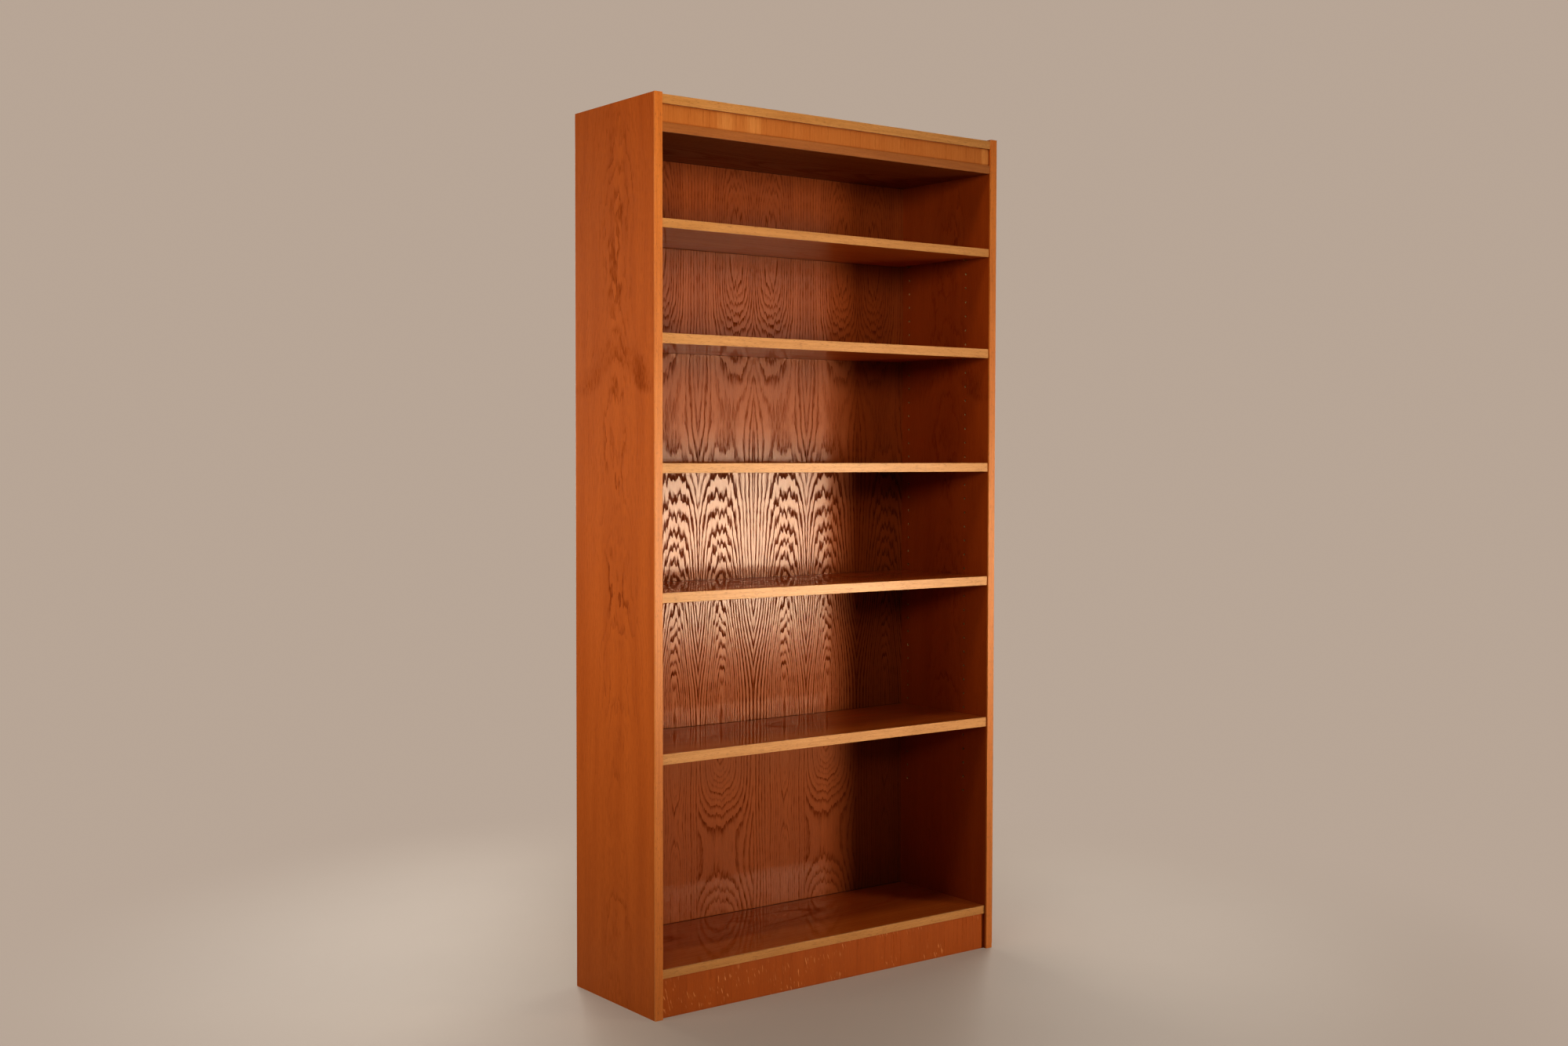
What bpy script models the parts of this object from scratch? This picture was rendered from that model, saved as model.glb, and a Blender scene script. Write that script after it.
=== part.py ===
"""Tall open bookcase in teak veneer, with five shelves that rest on loose pins.

The case is two side panels joined by a top panel, a cornice board and a bottom panel. A fascia closes
the box under the top panel, a plinth carries the bottom panel, and a thin back panel sits in rebates
in the sides. Each shelf rests on four pins, plugged into two columns of holes in each side panel. The
pins lie half sunk in a groove under each end of the shelf. The groove is closed at the front and open
at the back, so a shelf slides out forwards and its groove's closed end stops it when it is pushed home.

Metres, +Z up, front towards -Y, origin at the middle of the footprint, on the floor.
"""

import math

import bmesh
import bpy
from mathutils import Matrix, Vector

# The whole case.
WIDTH = 0.914
DEPTH = 0.304
HEIGHT = 1.829
SIDE_THICKNESS = 0.0185
BOARD_THICKNESS = 0.018
LIPPING_THICKNESS = 0.004
GAP = 0.0003

# The back panel, in a rebate along the rear edge of each side.
BACK_THICKNESS = 0.004
BACK_INSET = 0.0005
REBATE_WIDTH = 0.010

# How far each fixed piece stands behind the sides' front edges.
TOP_SETBACK = 0.002
FASCIA_SETBACK = 0.0065
SHELF_SETBACK = 0.0032
BOTTOM_SETBACK = 0.0053
PLINTH_SETBACK = 0.009

# Heights of the fixed pieces above the floor.
TOP_PANEL_TOP = 1.826
CORNICE_BOARD_TOP = 1.771
BOTTOM_PANEL_TOP = 0.098
FASCIA_THICKNESS = 0.012
PLINTH_THICKNESS = 0.016

# The pin holes: two columns in each side panel, at a pitch of 32 mm.
HOLE_ROWS = 39
HOLE_PITCH = 0.032
LOWEST_HOLE = 0.3513
FRONT_COLUMN = 0.080
REAR_COLUMN = 0.2756
HOLE_RADIUS = 0.00275
HOLE_DEPTH = 0.011
HOLE_SIDES = 8

# The pins.
PIN_RADIUS = 0.0024
PIN_SUNK = 0.010
PIN_PROUD = 0.008
PIN_CHAMFER = 0.0006
PIN_SIDES = 12

# The shelves, from the top one down: the row of holes that carries each, and how far its middle sags.
SHELF_ROWS = (38, 31, 23, 15, 5)
SHELF_SAGS = (0.0002, 0.0025, 0.0017, 0.0023, 0.0033)
SHELF_END_GAP = 0.001
SHELF_BACK_GAP = 0.0015
SHELF_SLICES = 12
GROOVE_LENGTH = 0.0185

# The dowels that join the case, and the glue blocks behind the plinth.
DOWEL_RADIUS = 0.004
DOWEL_IN_SIDE = 0.012
DOWEL_IN_BOARD = 0.018
DOWEL_CHAMFER = 0.001
DOWEL_SIDES = 12
DOWEL_OFFSET = 0.090
PLINTH_DOWEL_HEIGHT = 0.040
GLUE_BLOCK_SIZE = 0.028
GLUE_BLOCK_LENGTH = 0.120
GLUE_BLOCK_OFFSET = 0.220

# Rounding of the arrises.
LIPPING_ROUND = 0.0012
PANEL_ROUND = 0.0008
ROUND_SEGMENTS = 2
CUTTER_OVERSHOOT = 0.002

# Worked out from the dimensions above.
FRONT_Y = -DEPTH / 2
REAR_Y = DEPTH / 2
INNER_X = WIDTH / 2 - SIDE_THICKNESS
BACK_FRONT_Y = REAR_Y - BACK_INSET - BACK_THICKNESS
BOARD_HALF = INNER_X - GAP
SHELF_HALF = INNER_X - SHELF_END_GAP
PLINTH_TOP = BOTTOM_PANEL_TOP - BOARD_THICKNESS - GAP
COLUMNS = {"front": FRONT_Y + FRONT_COLUMN, "rear": FRONT_Y + REAR_COLUMN}
SIDES = {"left": -1, "right": 1}


def clear_scene():
    for obj in list(bpy.data.objects):
        bpy.data.objects.remove(obj, do_unlink=True)


def add_collection(name):
    collection = bpy.data.collections.new(name)
    bpy.context.scene.collection.children.link(collection)
    return collection


def add_material(name, colour, roughness, metallic=0.0):
    material = bpy.data.materials.new(name)
    material.use_nodes = True
    shader = material.node_tree.nodes["Principled BSDF"]
    shader.inputs["Base Color"].default_value = (*colour, 1.0)
    shader.inputs["Roughness"].default_value = roughness
    shader.inputs["Metallic"].default_value = metallic
    material.diffuse_color = (*colour, 1.0)
    return material


clear_scene()
BOOKCASE = add_collection("bookcase")
CUTTERS = add_collection("cutters")
SIDE_VENEER = add_material("side_veneer", (0.33, 0.085, 0.022), 0.42)
BOARD_VENEER = add_material("board_veneer", (0.35, 0.11, 0.035), 0.36)
BACK_VENEER = add_material("back_veneer", (0.33, 0.10, 0.035), 0.34)
SOLID_TEAK = add_material("solid_lipping", (0.50, 0.20, 0.065), 0.45)
FRONT_VENEER = add_material("front_veneer", (0.36, 0.10, 0.025), 0.42)
BRASS = add_material("brass_pin", (0.60, 0.42, 0.16), 0.35, 1.0)
BEECH = add_material("beech_dowel", (0.55, 0.38, 0.22), 0.60)
PINE = add_material("pine_block", (0.62, 0.44, 0.24), 0.65)


def add_object(name, mesh, material, location, parent=None):
    """Puts a mesh in the bookcase at a place in the world, also when it hangs on a parent."""
    mesh.materials.append(material)
    obj = bpy.data.objects.new(name, mesh)
    BOOKCASE.objects.link(obj)
    obj.location = Vector(location)
    if parent:
        obj.parent = parent
        obj.location = Vector(location) - parent.location
    return obj


def box_shape(low, high):
    """A box as a bmesh around its own middle, with that middle's place."""
    low = Vector(low)
    high = Vector(high)
    shape = bmesh.new()
    bmesh.ops.create_cube(shape, size=1.0)
    bmesh.ops.scale(shape, vec=high - low, verts=shape.verts)
    return shape, (low + high) / 2


def round_edges(shape, width, chosen):
    """Rounds the edges whose middle passes the test."""
    edges = [edge for edge in shape.edges if chosen((edge.verts[0].co + edge.verts[1].co) / 2)]
    bmesh.ops.bevel(
        shape,
        geom=edges,
        offset=width,
        segments=ROUND_SEGMENTS,
        profile=0.5,
        affect="EDGES",
        clamp_overlap=True,
    )


def slice_along_x(shape, half_length, slices):
    """Cuts a long board across into equal lengths, so that it can bend."""
    for index in range(1, slices):
        place = half_length * (2 * index / slices - 1)
        bmesh.ops.bisect_plane(
            shape,
            geom=shape.verts[:] + shape.edges[:] + shape.faces[:],
            plane_co=(place, 0, 0),
            plane_no=(1, 0, 0),
        )


def let_sag(shape, half_length, sag):
    """Lowers the middle of a board on a parabola whose ends stay where they are."""
    for vert in shape.verts:
        vert.co.z -= sag * (1 - (vert.co.x / half_length) ** 2)


def to_mesh(name, shape):
    mesh = bpy.data.meshes.new(name)
    bmesh.ops.recalc_face_normals(shape, faces=shape.faces[:])
    shape.to_mesh(mesh)
    shape.free()
    return mesh


def add_board(name, low, high, material, round_width=0.0, rounded=None):
    shape, middle = box_shape(low, high)
    if rounded:
        round_edges(shape, round_width, rounded)
    return add_object(name, to_mesh(name, shape), material, middle)


def add_lipping(name, low, high, rounded):
    return add_board(name, low, high, SOLID_TEAK, LIPPING_ROUND, rounded)


def front_long_edges(low, high, axis):
    """A test for the edges that lie in the front face and run along the given axis."""
    half_depth = (high[1] - low[1]) / 2

    def chosen(middle):
        return middle.y < -half_depth * 0.9 and abs(middle[axis]) < 1e-6

    return chosen


def add_cylinder(shape, centre, radius, length, sides):
    """A cylinder along X in a bmesh, with a flat of its polygon on top."""
    turn = Matrix.Rotation(math.pi / 2, 4, "Y") @ Matrix.Rotation(math.pi / sides, 4, "Z")
    bmesh.ops.create_cone(
        shape,
        cap_ends=True,
        segments=sides,
        radius1=radius,
        radius2=radius,
        depth=length,
        matrix=Matrix.Translation(centre) @ turn,
    )


def add_box_cut(shape, low, high):
    """A box in a bmesh, between two corners in the world."""
    low = Vector(low)
    high = Vector(high)
    size = Matrix.Diagonal((*(high - low), 1.0))
    bmesh.ops.create_cube(shape, size=1.0, matrix=Matrix.Translation((low + high) / 2) @ size)


def cut(obj, shape):
    """Takes a bmesh in world coordinates out of an object."""
    name = obj.name + "_cutter"
    cutter = bpy.data.objects.new(name, to_mesh(name, shape))
    cutter.hide_render = True
    cutter.display_type = "WIRE"
    CUTTERS.objects.link(cutter)
    boolean = obj.modifiers.new("cut", "BOOLEAN")
    boolean.operation = "DIFFERENCE"
    boolean.solver = "EXACT"
    boolean.object = cutter


def chamfered_rod(name, radius, length, chamfer, sides):
    """The mesh of a round rod along X with its two ends chamfered, around its own middle."""
    shape = bmesh.new()
    add_cylinder(shape, Vector((0, 0, 0)), radius, length, sides)
    rims = [edge for edge in shape.edges if len({round(vert.co.x, 6) for vert in edge.verts}) == 1]
    bmesh.ops.bevel(shape, geom=rims, offset=chamfer, segments=1, profile=0.5, affect="EDGES")
    mesh = to_mesh(name, shape)
    mesh.shade_smooth()
    mesh.set_sharp_from_angle(angle=math.radians(40))
    return mesh


def dowel_places():
    """Each dowel's name, side and place on the inner face of that side panel."""
    boards = {
        "top": TOP_PANEL_TOP - BOARD_THICKNESS / 2,
        "cornice": CORNICE_BOARD_TOP - BOARD_THICKNESS / 2,
        "bottom": BOTTOM_PANEL_TOP - BOARD_THICKNESS / 2,
    }
    places = []
    for side, sign in SIDES.items():
        for board, height in boards.items():
            for end, along in (("front", -DOWEL_OFFSET), ("rear", DOWEL_OFFSET)):
                name = f"dowel_{board}_{side}_{end}"
                places.append((name, sign, Vector((sign * INNER_X, along, height))))
        plinth_middle = FRONT_Y + PLINTH_SETBACK + PLINTH_THICKNESS / 2
        place = Vector((sign * INNER_X, plinth_middle, PLINTH_DOWEL_HEIGHT))
        places.append((f"dowel_plinth_{side}", sign, place))
    return places


def row_height(row):
    return LOWEST_HOLE + row * HOLE_PITCH


def add_side_panel(side, sign):
    inner = sign * INNER_X
    outer = sign * WIDTH / 2
    low_x, high_x = sorted((inner, outer))
    front = FRONT_Y + LIPPING_THICKNESS + GAP
    low = (low_x, front, 0)
    high = (high_x, REAR_Y, HEIGHT)

    def top_or_outer_rear(middle):
        at_top = middle.z > HEIGHT * 0.49 and middle.y > -(REAR_Y - front) * 0.49
        at_outer_rear = sign * middle.x > 0 and middle.y > (REAR_Y - front) * 0.49
        return at_top or at_outer_rear

    panel = add_board(f"{side}_side_panel", low, high, SIDE_VENEER, PANEL_ROUND, top_or_outer_rear)
    holes = bmesh.new()
    hole_length = HOLE_DEPTH + CUTTER_OVERSHOOT
    hole_middle = inner + sign * (HOLE_DEPTH - hole_length / 2)
    for row in range(HOLE_ROWS):
        for along in COLUMNS.values():
            centre = Vector((hole_middle, along, row_height(row)))
            add_cylinder(holes, centre, HOLE_RADIUS, hole_length, HOLE_SIDES)
    bored = DOWEL_IN_SIDE + GAP
    bore_length = bored + CUTTER_OVERSHOOT
    for name, dowel_sign, place in dowel_places():
        if dowel_sign == sign:
            centre = place + Vector((sign * (bored - bore_length / 2), 0, 0))
            add_cylinder(holes, centre, DOWEL_RADIUS + GAP, bore_length, DOWEL_SIDES)
    rebate_inner = inner - sign * CUTTER_OVERSHOOT
    rebate_outer = inner + sign * REBATE_WIDTH
    rebate_low_x, rebate_high_x = sorted((rebate_inner, rebate_outer))
    add_box_cut(
        holes,
        (rebate_low_x, BACK_FRONT_Y - GAP, -CUTTER_OVERSHOOT),
        (rebate_high_x, REAR_Y + CUTTER_OVERSHOOT, HEIGHT + CUTTER_OVERSHOOT),
    )
    cut(panel, holes)

    def front_or_top(middle):
        in_front = middle.y < -LIPPING_THICKNESS * 0.45
        along_height = abs(middle.z) < 1e-6
        at_top = middle.z > HEIGHT * 0.49 and abs(middle.x) < 1e-6
        return in_front and (along_height or at_top)

    lipping_high = (high_x, FRONT_Y + LIPPING_THICKNESS, HEIGHT)
    add_lipping(f"{side}_side_lipping", (low_x, FRONT_Y, 0), lipping_high, front_or_top)


def add_fixed_board(name, top, setback, dowel_name):
    """A board between the sides, with its lipping, bored at both ends for its dowels."""
    lipping_low = (-BOARD_HALF, FRONT_Y + setback, top - BOARD_THICKNESS)
    lipping_high = (BOARD_HALF, FRONT_Y + setback + LIPPING_THICKNESS, top)
    rounded = front_long_edges(lipping_low, lipping_high, 0)
    add_lipping(name + "_lipping", lipping_low, lipping_high, rounded)
    low = (-BOARD_HALF, lipping_high[1] + GAP, top - BOARD_THICKNESS)
    high = (BOARD_HALF, BACK_FRONT_Y - GAP, top)
    board = add_board(name, low, high, BOARD_VENEER)
    bore_board_ends(board, dowel_name)


def bore_board_ends(board, dowel_name):
    """Bores the dowel holes whose dowels carry this name."""
    holes = bmesh.new()
    bored = DOWEL_IN_BOARD + 2 * GAP
    length = bored + CUTTER_OVERSHOOT
    for name, sign, place in dowel_places():
        if name.startswith("dowel_" + dowel_name):
            centre = place - Vector((sign * (bored - length / 2), 0, 0))
            add_cylinder(holes, centre, DOWEL_RADIUS + GAP, length, DOWEL_SIDES)
    cut(board, holes)


def add_fascia():
    low = (-BOARD_HALF, FRONT_Y + FASCIA_SETBACK, CORNICE_BOARD_TOP + GAP)
    top = TOP_PANEL_TOP - BOARD_THICKNESS - GAP
    high = (BOARD_HALF, FRONT_Y + FASCIA_SETBACK + FASCIA_THICKNESS, top)
    add_board("cornice_fascia", low, high, FRONT_VENEER)


def add_plinth():
    front = FRONT_Y + PLINTH_SETBACK
    low = (-BOARD_HALF, front, 0)
    high = (BOARD_HALF, front + PLINTH_THICKNESS, PLINTH_TOP)
    plinth = add_board("plinth", low, high, FRONT_VENEER)
    bore_board_ends(plinth, "plinth")
    block_front = front + PLINTH_THICKNESS + GAP
    for side, sign in SIDES.items():
        middle = sign * GLUE_BLOCK_OFFSET
        block_low = (middle - GLUE_BLOCK_LENGTH / 2, block_front, PLINTH_TOP - GLUE_BLOCK_SIZE)
        block_high = (middle + GLUE_BLOCK_LENGTH / 2, block_front + GLUE_BLOCK_SIZE, PLINTH_TOP)
        add_board(f"glue_block_{side}", block_low, block_high, PINE)


def add_back_panel():
    half = INNER_X + REBATE_WIDTH - GAP
    low = (-half, BACK_FRONT_Y, BOTTOM_PANEL_TOP - BOARD_THICKNESS)
    high = (half, BACK_FRONT_Y + BACK_THICKNESS, TOP_PANEL_TOP)
    add_board("back_panel", low, high, BACK_VENEER)


def add_dowels():
    length = DOWEL_IN_SIDE + DOWEL_IN_BOARD
    mesh = chamfered_rod("dowel", DOWEL_RADIUS, length, DOWEL_CHAMFER, DOWEL_SIDES)
    mesh.materials.append(BEECH)
    for name, sign, place in dowel_places():
        dowel = bpy.data.objects.new(name, mesh)
        dowel.location = place - Vector((sign * (length / 2 - DOWEL_IN_SIDE), 0, 0))
        BOOKCASE.objects.link(dowel)


def add_shelf(number, row, sag):
    """A shelf board and its lipping, on an empty that slides forwards."""
    name = f"shelf_{number}"
    underside = row_height(row)
    front = FRONT_Y + SHELF_SETBACK
    slide = bpy.data.objects.new(name + "_slide", None)
    slide.location = (0, front, underside)
    BOOKCASE.objects.link(slide)

    lipping_low = (-SHELF_HALF, front, underside)
    lipping_high = (SHELF_HALF, front + LIPPING_THICKNESS, underside + BOARD_THICKNESS)
    shape, middle = box_shape(lipping_low, lipping_high)
    round_edges(shape, LIPPING_ROUND, front_long_edges(lipping_low, lipping_high, 0))
    slice_along_x(shape, SHELF_HALF, SHELF_SLICES)
    let_sag(shape, SHELF_HALF, sag)
    lipping_mesh = to_mesh(name + "_lipping", shape)
    add_object(name + "_lipping", lipping_mesh, SOLID_TEAK, middle, slide)

    board_low = (-SHELF_HALF, lipping_high[1] + GAP, underside)
    board_high = (SHELF_HALF, BACK_FRONT_Y - SHELF_BACK_GAP, underside + BOARD_THICKNESS)
    shape, middle = box_shape(board_low, board_high)
    slice_along_x(shape, SHELF_HALF, SHELF_SLICES)
    let_sag(shape, SHELF_HALF, sag)
    board = add_object(name, to_mesh(name, shape), BOARD_VENEER, middle, slide)

    grooves = bmesh.new()
    groove_front = COLUMNS["front"] - PIN_RADIUS - GAP
    groove_top = underside + PIN_RADIUS + GAP
    for sign in SIDES.values():
        ends = sorted((sign * (SHELF_HALF - GROOVE_LENGTH), sign * (SHELF_HALF + CUTTER_OVERSHOOT)))
        add_box_cut(
            grooves,
            (ends[0], groove_front, underside - CUTTER_OVERSHOOT),
            (ends[1], REAR_Y, groove_top),
        )
    cut(board, grooves)


def add_pins():
    """Four pins under each shelf, each with its origin on its hole's axis at the panel's face."""
    length = PIN_SUNK + PIN_PROUD
    mesh = chamfered_rod("pin", PIN_RADIUS, length, PIN_CHAMFER, PIN_SIDES)
    mesh.transform(Matrix.Translation((PIN_PROUD - length / 2, 0, 0)))
    mesh.materials.append(BRASS)
    for number, row in enumerate(SHELF_ROWS, start=1):
        for side, sign in SIDES.items():
            for column, along in COLUMNS.items():
                pin = bpy.data.objects.new(f"shelf_{number}_pin_{side}_{column}", mesh)
                pin.location = (sign * INNER_X, along, row_height(row))
                if side == "right":
                    pin.rotation_euler = (0, 0, math.pi)
                BOOKCASE.objects.link(pin)


for side_name, side_sign in SIDES.items():
    add_side_panel(side_name, side_sign)
add_fixed_board("top_panel", TOP_PANEL_TOP, TOP_SETBACK, "top")
add_fixed_board("cornice_board", CORNICE_BOARD_TOP, TOP_SETBACK, "cornice")
add_fixed_board("bottom_panel", BOTTOM_PANEL_TOP, BOTTOM_SETBACK, "bottom")
add_fascia()
add_plinth()
add_back_panel()
add_dowels()
for shelf_number, (shelf_row, shelf_sag) in enumerate(zip(SHELF_ROWS, SHELF_SAGS), start=1):
    add_shelf(shelf_number, shelf_row, shelf_sag)
add_pins()
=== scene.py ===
"""The looks of the teak bookcase: veneers, lippings, pins, floor, studio light and camera."""

import math

import bmesh
import bpy
from mathutils import Matrix, Vector, noise


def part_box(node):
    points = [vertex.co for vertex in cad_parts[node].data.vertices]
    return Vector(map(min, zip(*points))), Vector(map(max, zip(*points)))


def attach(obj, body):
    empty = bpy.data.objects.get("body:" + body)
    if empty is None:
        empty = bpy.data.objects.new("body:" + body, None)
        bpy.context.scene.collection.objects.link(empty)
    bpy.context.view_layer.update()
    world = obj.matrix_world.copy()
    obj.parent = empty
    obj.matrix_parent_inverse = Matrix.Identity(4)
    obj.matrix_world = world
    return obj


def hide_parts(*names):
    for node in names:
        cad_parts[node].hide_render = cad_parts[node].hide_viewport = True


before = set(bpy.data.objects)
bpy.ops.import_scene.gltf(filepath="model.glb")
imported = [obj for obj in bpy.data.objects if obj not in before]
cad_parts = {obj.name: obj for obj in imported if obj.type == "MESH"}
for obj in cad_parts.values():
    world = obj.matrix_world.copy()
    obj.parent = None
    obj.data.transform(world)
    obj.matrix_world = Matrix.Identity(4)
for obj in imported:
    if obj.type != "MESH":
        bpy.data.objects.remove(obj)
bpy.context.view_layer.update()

# All sizes and places are in metres, unless the comment says otherwise.

# Camera: angles in degrees, lens and sensor in millimetres. Yaw turns from +Y towards +X.
CAMERA_PLACE = (-2.390, -3.135, 1.119)
CAMERA_YAW = 37.025
CAMERA_PITCH = -2.105
CAMERA_ROLL = 0.105
CAMERA_LENS = 41.557
CAMERA_SENSOR = 36.0

# Studio: each light has a place, a target, a width and height, a spread in degrees, a power in watts
# and a colour. The key stands low at the front right with the weak glow above it, the upper light above
# the camera, and the high light over the left front corner.
LIGHTS = {
    "key": ((2.45, -3.45, 0.69), (-0.15, 0.0, 0.67), 0.90, 0.82, 48.0, 7.4, (1.0, 0.79, 0.57)),
    "glow": ((2.45, -3.45, 1.72), (-0.15, 0.0, 1.40), 0.90, 0.90, 60.0, 0.9, (1.0, 0.84, 0.68)),
    "upper": ((-2.4, -3.25, 1.97), (-0.35, 0.0, 1.72), 0.90, 0.90, 44.0, 4.8, (1.0, 0.82, 0.62)),
    "left": ((-2.0, 0.0, 0.84), (-0.46, 0.0, 0.84), 0.9, 0.8, 110.0, 5.8, (1.0, 0.93, 0.84)),
    "right": ((2.4, 0.9, 1.2), (0.46, 0.0, 1.0), 1.4, 1.2, 150.0, 20.0, (1.0, 0.93, 0.84)),
    "rear": ((0.2, 3.6, 1.5), (0.0, 0.15, 0.95), 2.4, 1.8, 150.0, 60.0, (1.0, 0.93, 0.84)),
    "high": ((-1.05, -0.88, 3.30), (0.0, -0.15, 0.8), 0.50, 0.50, 180.0, 10.0, (1.0, 0.88, 0.72)),
    "overhead": ((0.0, 1.6, 4.6), (0.0, 0.9, 0.0), 4.5, 4.0, 180.0, 20.0, (1.0, 0.95, 0.90)),
}
BACKDROP_COLOUR = (0.425, 0.345, 0.285)
AMBIENT_STRENGTH = 0.058

# Floor: it melts into the backdrop between two distances from the middle of the case.
FLOOR_HALF = 9.0
FLOOR_COLOUR = (0.46, 0.39, 0.33)
FLOOR_CLOUD_SHADE = 0.94
FLOOR_CLOUDS_PER_METRE = 1.7
FLOOR_GLOW = 0.3
MELT_START = 0.55
MELT_END = 1.9
MELT_AT_START = 0.3

# The case, read from the frame. The side panels mirror each other, so the left one gives how far their
# faces lie from the middle.
SIDE_LOW, SIDE_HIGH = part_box("left_side_panel")
OUTER_X, INNER_X = -SIDE_LOW[0], -SIDE_HIGH[0]
BACK_LOW, BACK_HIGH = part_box("back_panel")
SHELVES = range(1, 6)


class Graph:
    """A node material in the making. Most methods add a node and give its output."""

    def __init__(self, name):
        self.material = bpy.data.materials.new(name)
        self.material.use_nodes = True
        self.tree = self.material.node_tree
        self.shader = self.tree.nodes["Principled BSDF"]

    def feed(self, socket, value):
        """Gives a socket another node's output, a colour or a number."""
        if isinstance(value, bpy.types.NodeSocket):
            self.tree.links.new(value, socket)
        elif isinstance(value, (tuple, list)) and len(value) == 3 and len(socket.default_value) == 4:
            socket.default_value = (*value, 1.0)
        else:
            socket.default_value = value

    def add(self, kind, **settings):
        node = self.tree.nodes.new(kind)
        for name, value in settings.items():
            setattr(node, name, value)
        return node

    def math(self, operation, *values, clamp=False):
        node = self.add("ShaderNodeMath", operation=operation, use_clamp=clamp)
        for socket, value in zip(node.inputs, values):
            self.feed(socket, value)
        return node.outputs[0]

    def plus(self, a, b, clamp=False):
        return self.math("ADD", a, b, clamp=clamp)

    def minus(self, a, b):
        return self.math("SUBTRACT", a, b)

    def times(self, a, b, clamp=False):
        return self.math("MULTIPLY", a, b, clamp=clamp)

    def over(self, a, b):
        return self.math("DIVIDE", a, b)

    def larger(self, a, b):
        return self.math("MAXIMUM", a, b)

    def smaller(self, a, b):
        return self.math("MINIMUM", a, b)

    def whole(self, value):
        return self.math("FLOOR", value)

    def absolute(self, value):
        return self.math("ABSOLUTE", value)

    def split(self, vector):
        node = self.add("ShaderNodeSeparateXYZ")
        self.feed(node.inputs[0], vector)
        return node.outputs

    def join(self, x, y, z):
        node = self.add("ShaderNodeCombineXYZ")
        for socket, value in zip(node.inputs, (x, y, z)):
            self.feed(socket, value)
        return node.outputs[0]

    def place(self):
        """The point's own place on the object."""
        return self.split(self.add("ShaderNodeTexCoord").outputs["Object"])

    def facing(self):
        """The surface's direction, in the object's own axes."""
        return self.split(self.add("ShaderNodeTexCoord").outputs["Normal"])

    def noise(self, x, y, z, detail=2.0, roughness=0.5):
        """Soft noise about 0.5, whose features are about one unit across."""
        node = self.add("ShaderNodeTexNoise")
        self.feed(node.inputs["Vector"], self.join(x, y, z))
        node.inputs["Scale"].default_value = 1.0
        node.inputs["Detail"].default_value = detail
        node.inputs["Roughness"].default_value = roughness
        return node.outputs[0]

    def grain(self, across, along, seed, width, length, detail=1.0, roughness=0.5):
        """Noise drawn out along the grain, its features being about width by length."""
        return self.noise(self.over(across, width), self.over(along, length), seed, detail, roughness)

    def chance(self, value):
        """One random number from 0 to 1 for each value."""
        node = self.add("ShaderNodeTexWhiteNoise", noise_dimensions="1D")
        self.feed(node.inputs["W"], value)
        return node.outputs["Value"]

    def ease(self, value, low, high, from_value=0.0, to_value=1.0):
        """Goes smoothly from from_value at low to to_value at high."""
        node = self.add("ShaderNodeMapRange", interpolation_type="SMOOTHSTEP")
        for name, number in zip(("Value", "From Min", "From Max", "To Min", "To Max"),
                                (value, low, high, from_value, to_value)):
            self.feed(node.inputs[name], number)
        return node.outputs[0]

    def curve(self, value, points, reach=2.0):
        """A smooth curve through (value, result) points, for values from 0 to reach."""
        node = self.add("ShaderNodeFloatCurve")
        curve = node.mapping.curves[0]
        curve.points[0].location = (points[0][0] / reach, points[0][1])
        curve.points[1].location = (points[-1][0] / reach, points[-1][1])
        for at, result in points[1:-1]:
            curve.points.new(at / reach, result)
        node.mapping.update()
        self.feed(node.inputs["Value"], self.over(value, reach))
        return node.outputs[0]

    def mix(self, share, first, second):
        """The first colour where share is 0, and the second where it is 1."""
        node = self.add("ShaderNodeMix", data_type="RGBA")
        self.feed(node.inputs["Factor"], share)
        self.feed(node.inputs[6], first)
        self.feed(node.inputs[7], second)
        return node.outputs[2]

    def bump(self, height, depth):
        """Relief: height goes from 0 to 1, which is depth in metres."""
        node = self.add("ShaderNodeBump")
        node.inputs["Distance"].default_value = depth
        self.feed(node.inputs["Height"], height)
        self.feed(self.shader.inputs["Normal"], node.outputs[0])

    def set(self, **values):
        """Sets shader sockets: base_color=..., coat_weight=... and so on."""
        for name, value in values.items():
            words = [w.upper() if w == "ior" else w.capitalize() for w in name.split("_")]
            self.feed(self.shader.inputs[" ".join(words)], value)


# Wood ---------------------------------------------------------------------------------------------

# Growth rings: how far their lines stray from a smooth cut. The jags are short and sharp, the fraying
# finer still, and the wander long and slow.
JAG_LENGTH = 0.06
FRAY_SHARE, FRAY_WIDTH, FRAY_LENGTH = 0.3, 0.0024, 0.035
WANDER, WANDER_WIDTH, WANDER_LENGTH = 0.012, 0.10, 0.30

# Each ring's line darkens and then fades over these shares of the ring's width.
LINE_START = (0.0, 0.08)
LINE_FADE = (0.62, 0.14)
FAINTEST_LINE = 0.45

# Fine grain of every veneer: the width and length of its features, and for the pores their share too.
BROAD_STREAKS = (0.035, 0.55)
FINE_STREAKS = (0.0022, 0.11)
PORES = (0.0014, 0.020, 0.75)
HAIR_PORES = (0.00045, 0.009, 0.5)
PORE_DEPTH = 0.00022
PORE_ROUGHNESS = 0.95

# How much each part of the grain counts in the wood's shade, and how dark the pores between lines are.
BROAD_WEIGHT, FINE_WEIGHT, RING_WEIGHT = 0.50, 0.35, 0.15
PORE_DARKNESS, HAIR_DARKNESS = 0.12, 0.07

CHIPBOARD_TONES = ((0.58, 0.42, 0.24), (0.34, 0.21, 0.10))
FLAKES_PER_METRE = 450.0
LACQUER_TINT = (1.0, 0.60, 0.36)


def lacquer(shine, level):
    """Shader values of an oiled or lacquered face: a warm sheen from the wood and a thin clear coat."""
    return dict(coat_roughness=shine, specular_tint=LACQUER_TINT, specular_ior_level=level)


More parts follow.
